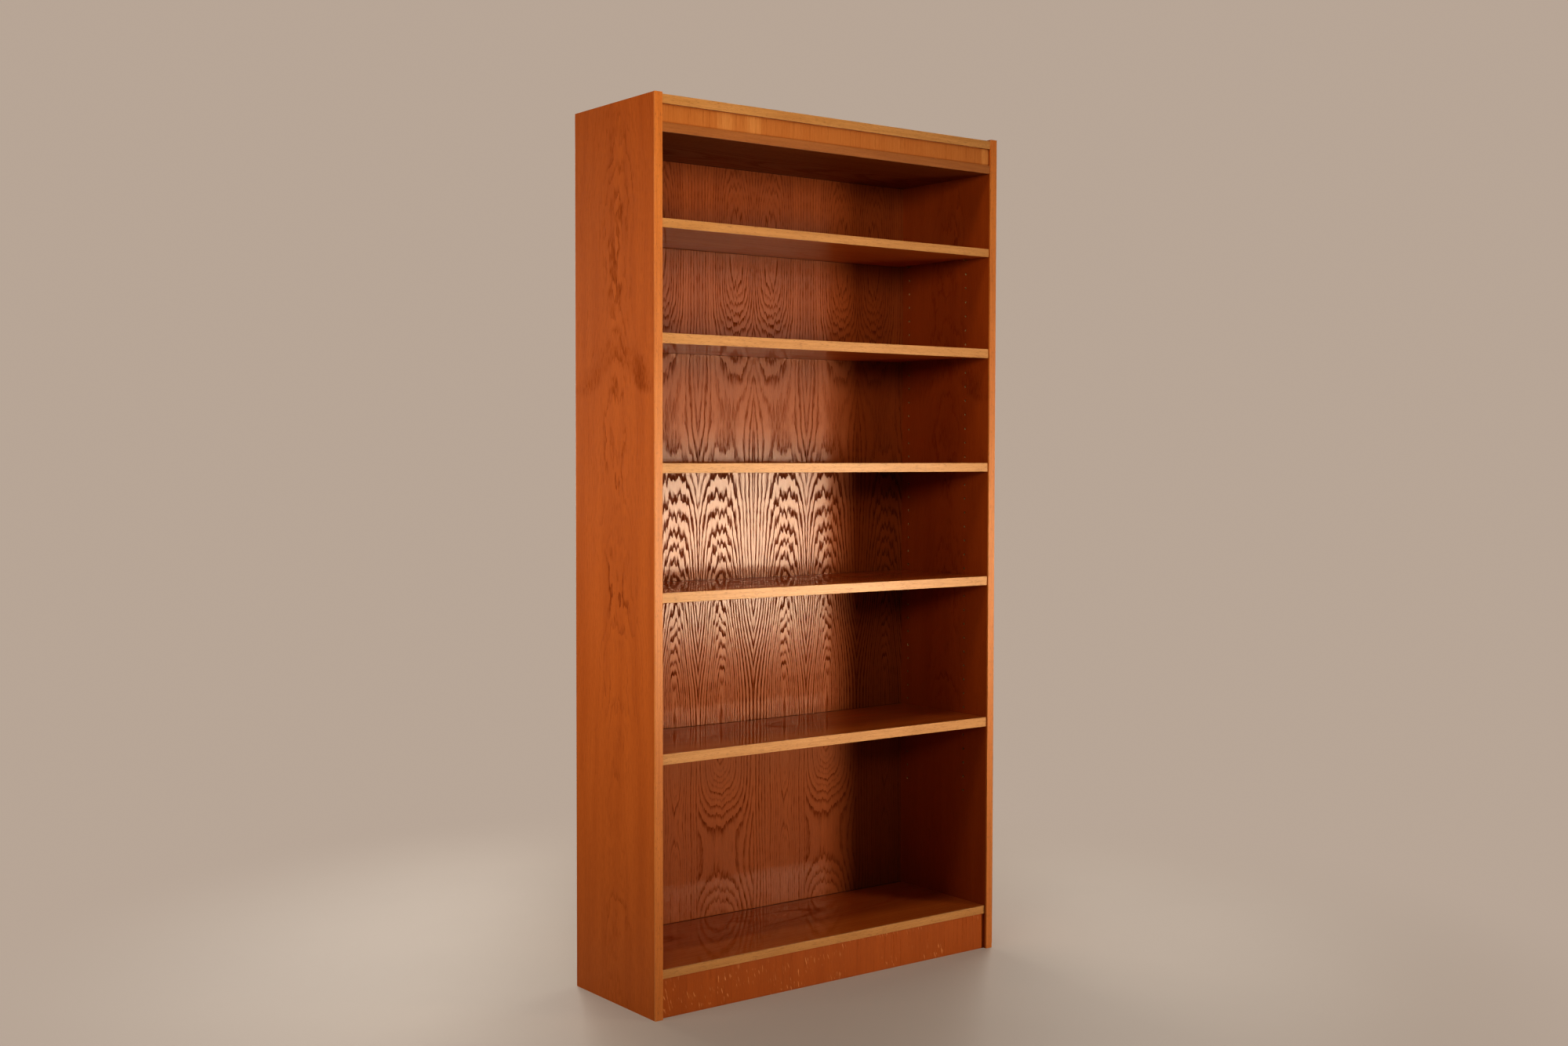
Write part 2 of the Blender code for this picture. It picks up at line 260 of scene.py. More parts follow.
def off_pith(g, across, centre, depth, bluntness=3.0):
    """How far a point of a flat cut lies from the pith, for a pith at centre and depth behind the face.

    The arches that this makes are sharp points at a bluntness of 1, and flat-topped at 3.
    """
    offset = g.absolute(g.minus(across, centre))
    both = g.plus(g.math("POWER", offset, bluntness), g.math("POWER", depth, bluntness))
    return g.math("POWER", both, g.over(1.0, bluntness))


def growth_rings(g, across, along, radius, seed, near=0.0022, growth=0.065, jag=0.0028, jag_width=0.010,
                 jagged=1.0):
    """Lines where a flat cut meets the tree's rings, the radius being counted from the pith.

    The rings are near apart at the pith, and growth further apart with each metre from it. Each line
    starts sharply and fades outwards. jagged is how much of the jags remains in a place. Gives the
    line's strength, from 0 to 1, and the ring's random tone.
    """
    ragged = g.grain(across, along, seed, jag_width, JAG_LENGTH, 2.0, 0.6)
    wander = g.grain(across, along, seed + 7.0, WANDER_WIDTH, WANDER_LENGTH)
    frayed = g.grain(across, along, seed + 9.0, FRAY_WIDTH, FRAY_LENGTH)
    push = g.plus(g.times(g.minus(ragged, 0.5), 2 * jag), g.times(g.minus(frayed, 0.5), FRAY_SHARE * jag))
    push = g.plus(g.times(push, jagged), g.times(g.minus(wander, 0.5), WANDER))
    spread = g.plus(g.times(g.plus(radius, push), growth / near), 1.0)
    phase = g.over(g.math("LOGARITHM", spread, math.e), growth)
    part = g.math("FRACT", phase)
    tone = g.chance(g.plus(g.whole(phase), seed * 31.0))
    line = g.times(g.ease(part, *LINE_START), g.ease(part, *LINE_FADE))
    return g.times(line, g.ease(tone, 0.0, 1.0, FAINTEST_LINE, 1.0)), tone


def pores(g, across, along, seed, width, length, share):
    """Dashes along the grain, from 0 to 1. share is about how much of the face they cover."""
    spots = g.grain(across, along, seed, width, length)
    return g.ease(spots, 0.60 - 0.22 * share, 0.70 - 0.16 * share)


def streaks(g, across, along, seed, width, length):
    """Soft stripes along the grain."""
    return g.grain(across, along, seed, width, length, 3.0, 0.55)


def chipboard(g):
    """Colour of pressed wood chips, as a bare edge or a drilled hole shows them."""
    flakes = g.noise(*(g.times(part, FLAKES_PER_METRE) for part in g.place()), 3.0, 0.6)
    return g.mix(g.ease(flakes, 0.35, 0.65), *CHIPBOARD_TONES)


def bare_edges(g, *faces):
    """1 on the faces that look along the given axes and signs, such as (1, 1) for +Y, and 0 elsewhere."""
    facing = g.facing()
    bare = 0.0
    for axis, sign in faces:
        bare = g.larger(bare, g.ease(g.times(facing[axis], sign), 0.6, 0.8))
    return bare


def finish_veneer(g, across, along, line, tone, seed, tones, coat, shine, rough, level, core=0.0):
    """Colours, lacquer and relief of a veneered face. tones are the light, the dark and the line colour.

    The dark lines are open pores, which the lacquer doesn't fill, so they stay dull where the rest
    shines. core is 1 where the chipboard under the veneer shows.
    """
    light, dark, line_colour = tones
    broad = streaks(g, across, along, seed + 3.0, *BROAD_STREAKS)
    fine = streaks(g, across, along, seed + 5.0, *FINE_STREAKS)
    dashes = pores(g, across, along, seed + 11.0, *PORES)
    hairs = pores(g, across, along, seed + 13.0, *HAIR_PORES)
    broad_shade = g.times(g.ease(broad, 0.3, 0.7), BROAD_WEIGHT)
    fine_shade = g.times(g.ease(fine, 0.25, 0.75), FINE_WEIGHT)
    shade = g.plus(g.plus(broad_shade, fine_shade), g.times(tone, RING_WEIGHT), clamp=True)
    dashed_line = g.times(line, g.plus(g.times(dashes, 0.5), 0.5))
    mask = g.plus(dashed_line, g.times(dashes, PORE_DARKNESS), clamp=True)
    mask = g.plus(mask, g.times(hairs, HAIR_DARKNESS), clamp=True)
    veneer = g.mix(mask, g.mix(shade, light, dark), line_colour)
    dull = g.larger(mask, core)
    g.set(base_color=g.mix(core, veneer, chipboard(g)),
          roughness=g.ease(dull, 0.0, 0.8, rough, PORE_ROUGHNESS),
          coat_weight=g.ease(dull, 0.0, 0.6, coat, 0.0),
          **lacquer(shine, level))
    g.bump(g.minus(1.0, mask), PORE_DEPTH)
    return g.material


# Back panel ---------------------------------------------------------------------------------------

# Its veneer is in leaves of this width, each slipped a little in height. They are counted from a place
# well to the left of the case.
LEAF_WIDTH = 0.15
LEAVES_TO_LEFT = 8
LEAF_SLIP = 0.012
JOINT_WIDTH = 0.0007
JOINT_DARKNESS = 0.4
BACK_COAT = 0.32

# How far the pith lies behind the back veneer's face at each height. It makes the arches: they point up
# where it rises, and down where it falls.
BACK_PITH = ((0.0, 0.020), (0.10, 0.045), (0.24, 0.076), (0.48, 0.008), (0.83, 0.030), (1.087, 0.062),
             (1.21, 0.071), (1.33, 0.060), (1.56, 0.018), (1.83, 0.047), (2.0, 0.060))

# How much that depth swells along the log, and how it is ribbed across a leaf.
BACK_SWELL, BACK_SWELL_LENGTH = 0.006, 0.16
BACK_RIB, BACK_RIB_WIDTH, BACK_RIB_LENGTH = 0.008, 0.008, 0.25

# How the arches change with height. Each row has two heights and then the amounts at them: where in a
# leaf an arch stands, how much further up the log every second leaf has its figure, how blunt the arches
# are, in two parts that add up, how closely the rings follow each other, and how jagged they are.
ARCH_CENTRE = (1.02, 1.42, 0.088, 0.048)
FIGURE_RISE = (0.52, 0.28, 0.0, 0.42)
BLUNTNESS_ABOVE = (0.68, 0.84, 2.0, 3.0)
BLUNTNESS_BELOW = (0.56, 0.44, 0.0, 1.0)
CLOSENESS = (0.90, 0.56, 1.0, 0.58)
JAGGED = (0.90, 0.62, 1.0, 0.30)

# How strongly the back's lines show at each height.
BACK_LINES = ((0.0, 0.46), (0.12, 0.44), (0.25, 0.38), (0.34, 0.50), (0.46, 0.35), (0.56, 1.0),
              (0.80, 1.0), (0.90, 0.82), (1.09, 0.78), (1.17, 0.55), (1.30, 0.38), (1.45, 0.54),
              (1.60, 0.45), (1.83, 0.45), (2.0, 0.45))
BACK_CONTRAST = 1.4
OUTSIDE_CONTRAST = 0.45

# Light, dark and line colours of the back panel: inside, and on the plainer, unlacquered outside.
BACK_TONES = ((0.36, 0.090, 0.015), (0.28, 0.062, 0.009), (0.11, 0.020, 0.003))
BACK_OUTSIDE_TONES = ((0.40, 0.160, 0.055), (0.32, 0.115, 0.035), (0.18, 0.055, 0.015))


def back_figure(g, leaf, page, along, z):
    """The lines in a leaf of the back, and their rings' tone, at a place across it and along the log."""
    swell = g.minus(g.noise(0.0, 0.0, g.over(along, BACK_SWELL_LENGTH), 1.0), 0.5)
    ribs = g.minus(g.grain(leaf, along, 5.0, BACK_RIB_WIDTH, BACK_RIB_LENGTH), 0.5)
    even_page = g.minus(1.0, g.math("PINGPONG", page, 1.0))
    risen = g.plus(along, g.times(even_page, g.ease(z, *FIGURE_RISE)))
    depth = g.plus(g.curve(risen, BACK_PITH), g.times(swell, BACK_SWELL))
    depth = g.plus(depth, g.times(ribs, BACK_RIB))
    bluntness = g.plus(g.ease(along, *BLUNTNESS_ABOVE), g.ease(along, *BLUNTNESS_BELOW))
    radius = off_pith(g, leaf, g.ease(along, *ARCH_CENTRE), depth, bluntness)
    radius = g.times(radius, g.ease(along, *CLOSENESS))
    line, tone = growth_rings(g, leaf, along, radius, 2.0, jagged=g.ease(along, *JAGGED))
    return g.times(line, g.times(g.curve(z, BACK_LINES), BACK_CONTRAST), clamp=True), tone


def back_veneer():
    """Narrow leaves, opened like the pages of a book: each leaf mirrors its neighbour."""
    g = Graph("back_veneer")
    x, _, z = g.place()
    from_left = g.plus(x, LEAVES_TO_LEFT * LEAF_WIDTH)
    leaf = g.math("PINGPONG", from_left, LEAF_WIDTH)
    page = g.whole(g.over(from_left, LEAF_WIDTH))
    along = g.plus(z, g.times(g.minus(g.chance(page), 0.5), LEAF_SLIP))
    line, tone = back_figure(g, leaf, page, along, z)
    joint = g.times(g.ease(leaf, JOINT_WIDTH, 0.0), JOINT_DARKNESS)
    outside = bare_edges(g, (1, 1))
    tones = [g.mix(outside, inner, outer) for inner, outer in zip(BACK_TONES, BACK_OUTSIDE_TONES)]
    line = g.times(g.larger(line, joint), g.ease(outside, 0.0, 1.0, 1.0, OUTSIDE_CONTRAST))
    coat = g.ease(outside, 0.0, 1.0, BACK_COAT, 0.0)
    return finish_veneer(g, leaf, along, line, tone, 2.0, tones,
                         coat=coat, shine=0.14, rough=0.38, level=0.34)


# Side panels --------------------------------------------------------------------------------------

# Light, dark and line colours: outside, and inside the case, where they are darker as painted shade.
SIDE_TONES = ((0.54, 0.134, 0.018), (0.42, 0.094, 0.010), (0.19, 0.032, 0.003))
SHADED_INSIDE_TONES = ((0.41, 0.088, 0.009), (0.33, 0.063, 0.006), (0.22, 0.034, 0.003))

# Thickness of the veneer.
VENEER = 0.0005

# The arches: how far their middle strays, and how far the pith lies behind the face.
SIDE_MIDDLE = -0.008
SIDE_DRIFT, SIDE_DRIFT_LENGTH = 0.05, 0.5
SIDE_PITH_SLOPE, SIDE_PITH_LEAST = 0.052, 0.005
SIDE_SWELL, SIDE_SWELL_LENGTH = 0.036, 0.22
SIDE_ROUNDNESS = 0.30

# The arches' strength: its patches, how it fades towards the floor, and how it fades away from their
# middle.
SIDE_PATCHES = (0.06, 0.13, 2.0)
SIDE_LOW_FADE = (0.35, 0.70, 0.35, 1.0)
SIDE_EDGE_FADE = (0.075, 0.02, 0.25, 1.0)

# The darker cloud: a band along a ridge like a roof, with ragged edges, cut off level at its foot.
CLOUD_RIDGE = 1.335
CLOUD_MIDDLE = -0.012
CLOUD_SLOPE = 0.75
CLOUD_RAGGED = 0.05
CLOUD_ABOVE, CLOUD_BELOW = 0.075, 0.030
CLOUD_FOOT = (1.235, 1.255)
CLOUD_TEARS_ACROSS, CLOUD_TEARS_UP = 60.0, 25.0

# It is darkest at one end: the distances from there between which it darkens, and how far it does.
CLOUD_KNOT = -0.100
CLOUD_DARKNESS = (0.035, 0.005, 0.28, 0.70)


def side_cloud(g, y, z, seed):
    """How dark the cloud is at a place, from 0 to 1."""
    ridge = g.minus(CLOUD_RIDGE, g.times(g.absolute(g.minus(y, CLOUD_MIDDLE)), CLOUD_SLOPE))
    torn = g.noise(g.times(y, CLOUD_TEARS_ACROSS), g.times(z, CLOUD_TEARS_UP), seed, 3.0)
    torn = g.times(torn, CLOUD_RAGGED)
    above = g.minus(z, g.plus(ridge, g.minus(torn, CLOUD_RAGGED / 2)))
    band = g.times(g.ease(above, CLOUD_ABOVE, 0.0), g.ease(above, -CLOUD_BELOW, 0.0))
    darkness = g.ease(g.absolute(g.minus(y, CLOUD_KNOT)), *CLOUD_DARKNESS)
    return g.times(g.times(band, g.ease(z, *CLOUD_FOOT)), darkness)


def side_core(g, from_middle, z):
    """1 where the chipboard of a side panel shows: in its holes and on its rear and bottom edges."""
    behind_inner = g.ease(from_middle, INNER_X + 0.8 * VENEER, INNER_X + 1.2 * VENEER)
    behind_outer = g.ease(from_middle, OUTER_X - 0.8 * VENEER, OUTER_X - 1.2 * VENEER)
    below_top = g.ease(z, SIDE_HIGH[2], SIDE_HIGH[2] - VENEER)
    cut = g.larger(g.times(behind_inner, behind_outer), bare_edges(g, (1, 1), (2, -1)))
    return g.times(cut, below_top)


def side_veneer(name, seed):
    """One wide leaf, grain upright, with tall ragged arches up the middle and a darker cloud in it."""
    g = Graph(name)
    x, y, z = g.place()
    drift = g.times(g.minus(g.noise(seed, g.over(z, SIDE_DRIFT_LENGTH), 3.0), 0.5), SIDE_DRIFT)
    offset = g.minus(g.minus(y, SIDE_MIDDLE), drift)
    swell = g.times(g.noise(0.0, g.over(z, SIDE_SWELL_LENGTH), seed), SIDE_SWELL)
    depth = g.plus(g.plus(g.times(z, SIDE_PITH_SLOPE), swell), SIDE_PITH_LEAST)
    radius = g.plus(depth, g.over(g.times(offset, offset), SIDE_ROUNDNESS))
    line, tone = growth_rings(g, y, z, radius, seed, near=0.0058, growth=0.004, jag=0.0062, jag_width=0.016)
    patchy = g.ease(g.grain(y, z, seed, *SIDE_PATCHES), 0.34, 0.66, 0.15, 0.95)
    fading = g.times(patchy, g.ease(z, *SIDE_LOW_FADE))
    strength = g.times(g.ease(g.absolute(offset), *SIDE_EDGE_FADE), fading)
    line = g.plus(g.times(line, strength), side_cloud(g, y, z, seed), clamp=True)
    from_middle = g.absolute(x)
    inside = g.ease(from_middle, INNER_X + 0.6 * VENEER, INNER_X + 0.2 * VENEER)
    # Painted shade: the faces inside the case take the darker colours.
    tones = [g.mix(inside, outside_tone, shaded_inside_tone) for outside_tone, shaded_inside_tone in zip(SIDE_TONES, SHADED_INSIDE_TONES)]
    return finish_veneer(g, y, z, line, tone, seed, tones,
                         coat=0.13, shine=0.2, rough=0.45, level=0.22, core=side_core(g, from_middle, z))


# Boards and shelves -------------------------------------------------------------------------------

BOARD_TONES = ((0.68, 0.200, 0.030), (0.55, 0.148, 0.018), (0.30, 0.062, 0.008))
BOARD_LINES = 0.5

# Each board's figure comes from another place along the log, by this step. The pith lies at a place
# across it, and behind its face by an amount that rises and falls along the log.
BOARD_STEP = 1.7
BOARD_PITH = 0.05
ARCH_LENGTH, PITH_SLOPE, PITH_LEAST = 1.1, 0.05, 0.03

# Painted shade along the rear edge, where the board meets the back: its colour, where it thins out and where
# it is full, and how dense it is.
REAR_SHADE_TONE = (0.060, 0.018, 0.006)
REAR_SHADE_REACH = (0.0065, 0.0045)
REAR_SHADE_DENSITY = 0.85

# Each board's coat of lacquer, and how bright its underside's colours are: half under the cornice board, as
# painted shade. The shelves are like the bottom panel.
BOARD_FINISHES = {"top_panel": (0.06, 1.0), "cornice_board": (0.10, 0.5), "bottom_panel": (0.80, 1.0)}


def board_veneer(node, seed, coat, below):
    """Straight and gently arched grain along the board, under a smooth lacquer, half as thick below.

    below is how bright the underside's colours are, compared with those on top; under the cornice board they
    are darkened as painted shade.
    The last few millimetres along the rear edge, where the board meets the back, are darkened as painted
    shade.
    """
    g = Graph(f"{node}_veneer")
    x, y, _ = g.place()
    along = g.plus(x, seed * BOARD_STEP)
    depth = g.plus(g.times(g.math("PINGPONG", along, ARCH_LENGTH), PITH_SLOPE), PITH_LEAST)
    radius = off_pith(g, y, BOARD_PITH, depth)
    line, tone = growth_rings(g, y, along, radius, seed, near=0.005, growth=0.02, jag=0.0015)
    core = bare_edges(g, (0, 1), (0, -1), (1, 1))
    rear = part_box(node)[1][1]
    # Painted shade: the rear edge darkens and keeps no lacquer, where the board meets the back.
    rear_shade = g.ease(y, *(rear - reach for reach in REAR_SHADE_REACH))
    upward = g.facing()[2]
    film = g.times(g.ease(upward, -0.5, 0.5, 0.5 * coat, coat), g.minus(1.0, rear_shade))
    underneath = g.ease(upward, 0.5, -0.5)
    # Painted shade: the underside's colours are scaled by below, which halves them under the cornice board.
    tones = [g.mix(underneath, above, [below * part for part in above]) for above in BOARD_TONES]
    tones = [g.mix(g.times(rear_shade, REAR_SHADE_DENSITY), unshaded, REAR_SHADE_TONE) for unshaded in tones]
    return finish_veneer(g, y, along, g.times(line, BOARD_LINES), tone, seed, tones,
                         coat=film, shine=0.06, rough=0.6, level=0.08, core=core)


# Fascia and plinth --------------------------------------------------------------------------------

GOLDEN_TONES = ((0.58, 0.225, 0.058), (0.48, 0.160, 0.033), (0.30, 0.085, 0.015))
RED_TONES = ((0.52, 0.125, 0.014), (0.41, 0.090, 0.008), (0.27, 0.048, 0.004))
RAY_TONE = (0.80, 0.36, 0.12)
PALE_LEAF_TONE = (0.80, 0.40, 0.13)
FRONT_STEP = 2.3
FRONT_STREAKS = (0.004, 0.16)
FRONT_LINES = 0.6

# Widths of the leaves: of one tone, and of the few pale ones, which are those with the highest chance.
TONE_WIDTH = 0.067
PALE_LEAF_WIDTH = 0.036
PALE_CHANCE = (0.86, 0.90)

# Painted shade along the long edges, where shade falls next to the parts above and below: how far from the
# edges it starts, and where it is full.
EDGE_SHADE_REACH = (0.0045, 0.0008)

# Rays: they lean by this much for each metre of height, stray a little, and stand in crowds.
RAY_SIZE = (0.0034, 0.022)
RAY_LEAN = 0.22
RAY_STRAY, STRAYS_PER_METRE = 0.01, 40.0
CROWDS_ACROSS, CROWDS_UP = 9.0, 14.0


def front_veneer(node, seed, tones, flecks, edge_shade, patches=0.0):
    """Upright grain on a long, low board, in several leaves side by side.

    flecks is how strongly short, pale, leaning rays show in it, edge_shade is how dark its long edges are
    painted, as shade next to the parts above and below, and patches is how pale a few of its leaves are.
    """
    low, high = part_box(node)
    g = Graph(f"{node}_veneer")
    x, _, z = g.place()
    across = g.plus(x, seed * FRONT_STEP)
    line = g.ease(streaks(g, across, z, seed + 2.0, *FRONT_STREAKS), 0.52, 0.75)
    tone = g.chance(g.whole(g.over(across, TONE_WIDTH)))
    stray = g.times(g.noise(g.times(x, STRAYS_PER_METRE), 0.0, z), RAY_STRAY)
    leaning = g.plus(across, g.plus(g.times(z, RAY_LEAN), stray))
    rays = g.ease(g.grain(leaning, z, seed, *RAY_SIZE), 0.62, 0.70)
    crowd = g.noise(g.times(across, CROWDS_ACROSS), g.times(z, CROWDS_UP), seed)
    crowd = g.ease(crowd, 0.45, 0.62)
    fleck = g.times(g.times(rays, crowd), flecks)
    light, dark, line_colour = tones
    rim = g.smaller(g.minus(z, low[2]), g.minus(high[2], z))
    # Painted shade: the long edges darken towards the line colour, next to the parts above and below.
    edge = g.times(g.ease(rim, *EDGE_SHADE_REACH), edge_shade)
    light, dark = (g.mix(edge, g.mix(fleck, plain, RAY_TONE), line_colour) for plain in (light, dark))
    pale = g.chance(g.whole(g.over(across, PALE_LEAF_WIDTH)))
    pale = g.ease(pale, *PALE_CHANCE, 0.0, patches)
    light = g.mix(g.times(pale, g.minus(1.0, edge)), light, PALE_LEAF_TONE)
    tones = (light, dark, line_colour)
    return finish_veneer(g, across, z, g.times(line, FRONT_LINES), tone, seed, tones,
                         coat=0.25, shine=0.2, rough=0.38, level=0.35)


# Solid wood and brass -----------------------------------------------------------------------------

# Light and dark colours of the solid teak, and of the other plain materials below.
PALE_TEAK = ((0.65, 0.345, 0.125), (0.50, 0.235, 0.064))
WARM_TEAK = ((0.72, 0.255, 0.052), (0.54, 0.160, 0.025))
DARK_TEAK = ((0.44, 0.170, 0.048), (0.32, 0.108, 0.024))
TEAK_PORE_TONE = (0.20, 0.055, 0.012)
TEAK_WORN_TONE = (0.86, 0.60, 0.33)
TEAK_PORE_DEPTH = 0.00012

# Size and length of the solid teak's wide and fine grain, its pores, and its patches along the strip.
WIDE_GRAIN = (0.006, 0.16)
FINE_GRAIN = (0.0012, 0.05)
TEAK_PORES = (0.0007, 0.010, 1.0)
PATCH_LENGTH = 0.22

# How deep under the strip's flat faces a rounded arris counts as worn.
WORN_REACH = (0.00008, 0.00045)

BEECH = ((0.60, 0.43, 0.25), (0.42, 0.27, 0.14))
PINE = ((0.66, 0.48, 0.27), (0.50, 0.32, 0.15))
PLAIN_GRAIN = (0.0015, 0.04, 3.0)
PLAIN_GRAIN_DEPTH = 0.00015
BRASS = ((0.62, 0.43, 0.17), (0.36, 0.23, 0.09))
TARNISH_PER_METRE = 900.0


def fibres(g, spot, axis, size, length, detail=2.0):
    """Noise in solid wood: size across the grain both ways, and drawn out to length along the axis."""
    first, second = (g.over(spot[n], size) for n in range(3) if n != axis)
    return g.noise(first, second, g.over(spot[axis], length), detail)


def solid_teak(name, seed, axis, low, high, tones):
    """Planed solid wood, its fine grain running along the strip, paler where its arrises are worn."""
    g = Graph(name)
    spot = g.place()
    insets = [g.smaller(g.minus(spot[n], low[n]), g.minus(high[n], spot[n]))
              for n in range(3) if n != axis]
    worn = g.ease(g.smaller(*insets), *WORN_REACH)
    wide = fibres(g, spot, axis, *WIDE_GRAIN)
    fine = fibres(g, spot, axis, *FINE_GRAIN)
    pore = g.ease(fibres(g, spot, axis, *TEAK_PORES), 0.60, 0.70)
    patch = g.noise(seed, g.over(spot[axis], PATCH_LENGTH), 0.0)
    shade = g.plus(g.times(g.ease(wide, 0.3, 0.7), 0.4), g.times(g.ease(fine, 0.3, 0.7), 0.35))
    shade = g.plus(shade, g.times(g.ease(patch, 0.35, 0.7), 0.25), clamp=True)
    colour = g.mix(g.times(pore, 0.5), g.mix(shade, *tones), TEAK_PORE_TONE)
    g.set(base_color=g.mix(g.times(worn, 0.8), colour, TEAK_WORN_TONE),
          roughness=g.plus(g.times(pore, 0.25), 0.41), coat_weight=0.32, **lacquer(0.28, 0.58))
    g.bump(g.minus(1.0, pore), TEAK_PORE_DEPTH)
    return g.material


def plain_wood(name, tones):
    """Unfinished wood of a dowel or block, its grain along X."""
    g = Graph(name)
    grain = fibres(g, g.place(), 0, *PLAIN_GRAIN)
    g.set(base_color=g.mix(g.ease(grain, 0.3, 0.7), *tones), roughness=0.65)
    g.bump(grain, PLAIN_GRAIN_DEPTH)
    return g.material


def brass():
    """Dull, spotty brass of the shelf pins and the nails."""
    g = Graph("brass_pin")
    tarnish = g.noise(*(g.times(part, TARNISH_PER_METRE) for part in g.place()), 3.0)
    g.set(base_color=g.mix(g.ease(tarnish, 0.35, 0.7), *BRASS), metallic=1.0,
          roughness=g.ease(tarnish, 0.3, 0.7, 0.24, 0.48))
    return g.material


# Dressing the CAD nodes ---------------------------------------------------------------------------

def dress(node, material):
    """Puts one material on a CAD node."""
    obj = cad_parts[node]
    obj.data.materials.clear()
    obj.data.materials.append(material)


def dress_all():
    """Gives every CAD node that shows its material. The lippings don't: worn ones replace them."""
    dress("back_panel", back_veneer())
    dress("left_side_panel", side_veneer("side_veneer_left", 1.0))
    dress("right_side_panel", side_veneer("side_veneer_right", 4.0))
    for number, (name, finish) in enumerate(BOARD_FINISHES.items()):
        dress(name, board_veneer(name, 1.0 + number, *finish))
    for shelf in SHELVES:
        finish = BOARD_FINISHES["bottom_panel"]
        dress(f"shelf_{shelf}", board_veneer(f"shelf_{shelf}", 10.0 + shelf, *finish))
    dress("cornice_fascia", front_veneer("cornice_fascia", 5.0, GOLDEN_TONES, 0.15, 0.7, 0.6))
    dress("plinth", front_veneer("plinth", 8.0, RED_TONES, 1.0, 0.3))
    pin, dowel, block = brass(), plain_wood("beech_dowel", BEECH), plain_wood("pine_block", PINE)
    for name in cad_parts:
        if "_pin_" in name:
            dress(name, pin)
        elif name.startswith("dowel_"):
            dress(name, dowel)
        elif name.startswith("glue_block_"):
            dress(name, block)


# Lippings -----------------------------------------------------------------------------------------

# Knocks on the front arrises: place along the strip, side, half length and depth. The side is 1 for the
# upper or right arris of the strip, and -1 for the lower or left one.
CHIPS = {
    "top_panel_lipping": [(-0.268, 1, 0.022, 0.0019), (-0.130, 1, 0.014, 0.0016),
                          (0.31, 1, 0.006, 0.0009)],
    "cornice_board_lipping": [(-0.262, 1, 0.010, 0.0012), (-0.190, 1, 0.016, 0.0011),
                              (0.274, 1, 0.006, 0.0014)],
    "left_side_lipping": [(1.700, -1, 0.005, 0.0013), (0.330, -1, 0.006, 0.0014),
                          (0.843, 1, 0.007, 0.0017), (1.440, -1, 0.003, 0.0010),
                          (0.004, -1, 0.008, 0.0018)],
    "right_side_lipping": [(1.822, -1, 0.008, 0.0016), (0.004, 1, 0.010, 0.0022),
                           (0.575, 1, 0.004, 0.0011)],
    "shelf_1_lipping": [(-0.18, -1, 0.005, 0.0007)],
    "shelf_5_lipping": [(0.12, 1, 0.006, 0.0008), (-0.33, -1, 0.007, 0.0009)],
    "bottom_panel_lipping": [(0.21, 1, 0.010, 0.0011), (-0.05, 1, 0.005, 0.0009)],
}

# The lippings that aren't of pale teak.
LIPPING_TONES = {"left_side_lipping": WARM_TEAK, "right_side_lipping": WARM_TEAK,
                 "cornice_board_lipping": DARK_TEAK}

# Arrises: the front ones are softened, and wave a little, while those at the back stay crisp.
ARRIS = 0.0007
ARRIS_WAVE = 0.03
CHIP_WAVE = 0.003
BACK_ARRIS = 0.00015
STATION_STEP = 0.0025
ARC_STEPS = 4
CORNERS = ((1, 1), (-1, 1), (-1, -1), (1, -1))


def arris_radius(along, side, chips, seed):
    """Radius of a front arris at a place along it: soft, a little uneven, and larger in a chip."""
    radius = ARRIS * (0.85 + 0.5 * noise.noise(Vector((along / ARRIS_WAVE, seed, side))))
    for place, chip_side, half_length, depth in chips:
        inside = 1.0 - abs(along - place) / half_length
        if chip_side == side and inside > 0.0:
            ragged = 0.75 + 0.4 * noise.noise(Vector((along / CHIP_WAVE, seed, 7.0)))
            radius = max(radius, depth * min(1.0, 2.5 * inside) * ragged)
    return radius


def rounded_outline(low, high, radii):
    """Points round a rectangle whose corners have the given radii, anticlockwise from the high corner."""
    points = []
    for number, (side_a, side_b) in enumerate(CORNERS):
        radius = radii[number]
        centre_a = high[0] - radius if side_a > 0 else low[0] + radius
        centre_b = high[1] - radius if side_b > 0 else low[1] + radius
        for step in range(ARC_STEPS + 1):
            angle = math.radians(90.0 * (number + step / ARC_STEPS))
            points.append((centre_a + radius * math.cos(angle), centre_b + radius * math.sin(angle)))
    return points


def corner_radii(along, axis, chips, seed):
    """Radius of each of the strip's four arrises at a place along it."""
    radii = []
    for side_a, side_b in CORNERS:
        depth_side, side = (side_b, side_a) if axis == 2 else (side_a, side_b)
        radii.append(arris_radius(along, side, chips, seed) if depth_side < 0 else BACK_ARRIS)
    return radii


def worn_strip(low, high, axis, chips, seed):
    """A strip along the axis, made of rounded outlines joined from end to end."""
    across = [number for number in range(3) if number != axis]
    count = round((high[axis] - low[axis]) / STATION_STEP)
    mesh = bmesh.new()
    rings = []
    for station in range(count + 1):
        along = low[axis] + (high[axis] - low[axis]) * station / count
        radii = corner_radii(along, axis, chips, seed)
        ring = []
        for a, b in rounded_outline([low[n] for n in across], [high[n] for n in across], radii):
            spot = [0.0, 0.0, 0.0]
            spot[axis], spot[across[0]], spot[across[1]] = along, a, b
            ring.append(mesh.verts.new(spot))
        rings.append(ring)
    for ring, following in zip(rings, rings[1:]):
        for number in range(len(ring)):
            corners = (ring[number - 1], ring[number], following[number], following[number - 1])
            face = mesh.faces.new(corners)
            face.smooth = number % (ARC_STEPS + 1) != 0
    mesh.faces.new(rings[0])
    mesh.faces.new(rings[-1])
    bmesh.ops.recalc_face_normals(mesh, faces=mesh.faces)
    return mesh


